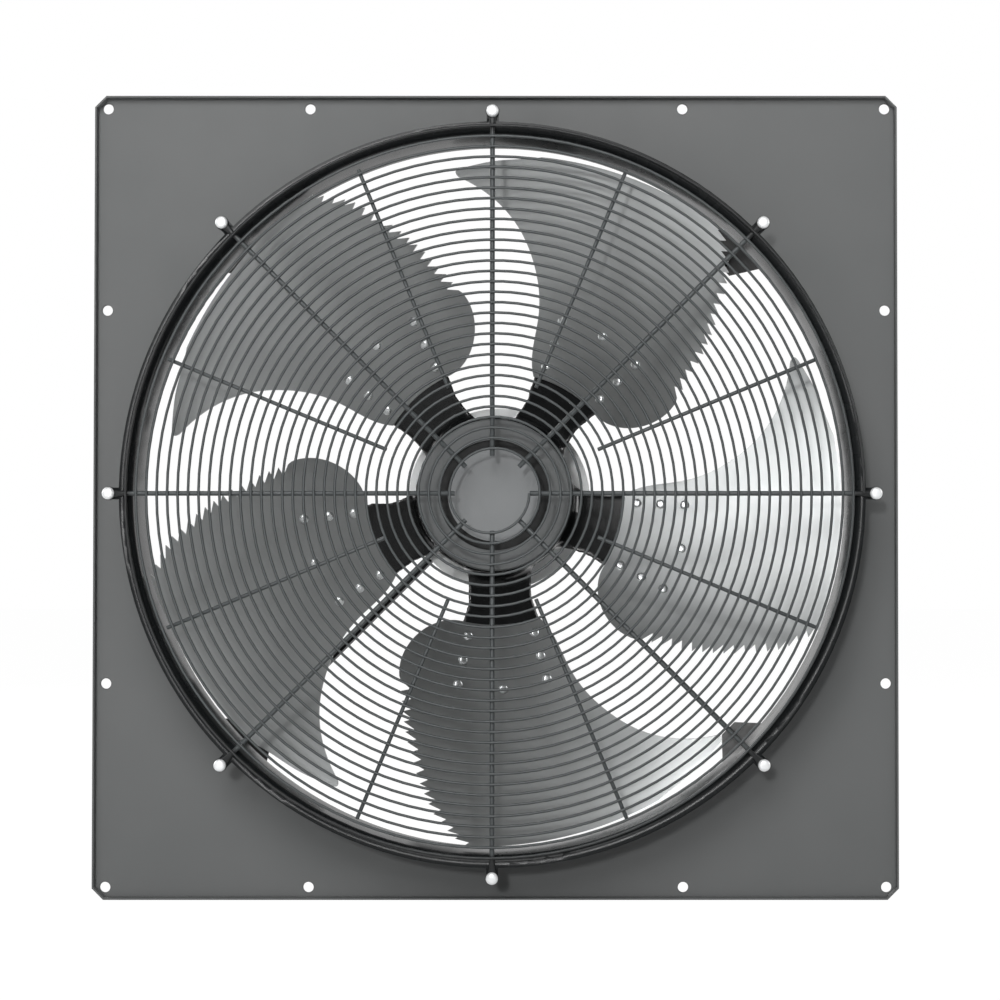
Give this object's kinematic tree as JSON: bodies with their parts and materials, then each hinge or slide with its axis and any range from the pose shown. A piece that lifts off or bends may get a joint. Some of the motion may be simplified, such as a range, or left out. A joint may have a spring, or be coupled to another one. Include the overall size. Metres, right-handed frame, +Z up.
{
  "type": "axial fan",
  "caption": "Square wall-plate axial fan with saw-toothed sickle blades on an outer-rotor motor, a short nozzle and a spiral wire guard.",
  "frame": {"origin": "on the fan's axis, in the rear face of the wall plate", "axes": "+Z up, +X to the right as seen from the guard, the guard faces -Y and the wall is at +Y"},
  "size_m": [0.85, 0.2035, 0.85],
  "materials": {
    "plate_paint": "satin grey powder coat",
    "nozzle_paint": "glossy dark grey paint",
    "guard_coating": "dark grey coated wire",
    "blade_paint": "satin grey paint",
    "hub_paint": "glossy black paint",
    "rivet_steel": "bright domed heads",
    "zinc_steel": "bright zinc plating",
    "dark_steel": "phosphated spring steel",
    "motor_cast": "satin grey die-cast aluminium",
    "lamination": "stacked electrical sheet",
    "bearing_steel": "ground steel",
    "winding": "enamelled copper wire",
    "support_paint": "black powder coat",
    "box_plastic": "black moulded plastic",
    "block_plastic": "pale moulded plastic",
    "seal_rubber": "black rubber"
  },
  "bodies": {
    "housing": {"bearing_front_outer": "bearing_steel", "bearing_rear_outer": "bearing_steel", "box_gasket": "seal_rubber", "box_lid": "box_plastic", "foot_nuts": "zinc_steel", "foot_studs": "zinc_steel", "gland_body": "box_plastic", "gland_nut": "box_plastic", "gland_seal": "seal_rubber", "guard_long_spokes": "guard_coating", "guard_nuts": "zinc_steel", "guard_screws": "zinc_steel", "guard_short_spokes": "guard_coating", "guard_spiral": "guard_coating", "lid_screws": "zinc_steel", "motor_bolts": "zinc_steel", "motor_mount_disc": "support_paint", "nozzle_ring": "nozzle_paint", "preload_washer": "dark_steel", "stator_core": "lamination", "stator_flange": "motor_cast", "stator_winding_front": "winding", "stator_winding_rear": "winding", "support_strut_1": "support_paint", "support_strut_2": "support_paint", "support_strut_3": "support_paint", "support_strut_4": "support_paint", "terminal_block": "block_plastic", "terminal_box": "box_plastic", "wall_plate": "plate_paint"},
    "rotor": {"bearing_front_inner": "bearing_steel", "bearing_rear_inner": "bearing_steel", "blade_1": "blade_paint", "blade_2": "blade_paint", "blade_3": "blade_paint", "blade_4": "blade_paint", "blade_5": "blade_paint", "blade_rivets": "rivet_steel", "hub_spider": "hub_paint", "rotor_bell": "motor_cast", "rotor_core": "lamination", "shaft": "bearing_steel", "shaft_circlip": "dark_steel"},
    "bearing_cages": {"bearing_front_balls": "bearing_steel", "bearing_front_cage": "bearing_steel", "bearing_rear_balls": "bearing_steel", "bearing_rear_cage": "bearing_steel"}
  },
  "joints": [
    {"name": "fan_spin", "type": "hinge", "parent": "housing", "child": "rotor", "pos_m": [0, 0, 0], "axis": [0, -1, 0], "continuous": true},
    {"name": "cage_spin", "type": "hinge", "parent": "housing", "child": "bearing_cages", "pos_m": [0, 0, 0], "axis": [0, -1, 0], "continuous": true}
  ],
  "couplings": [
    {"joint": "cage_spin", "follows": "fan_spin", "ratio": 0.3815}
  ]
}
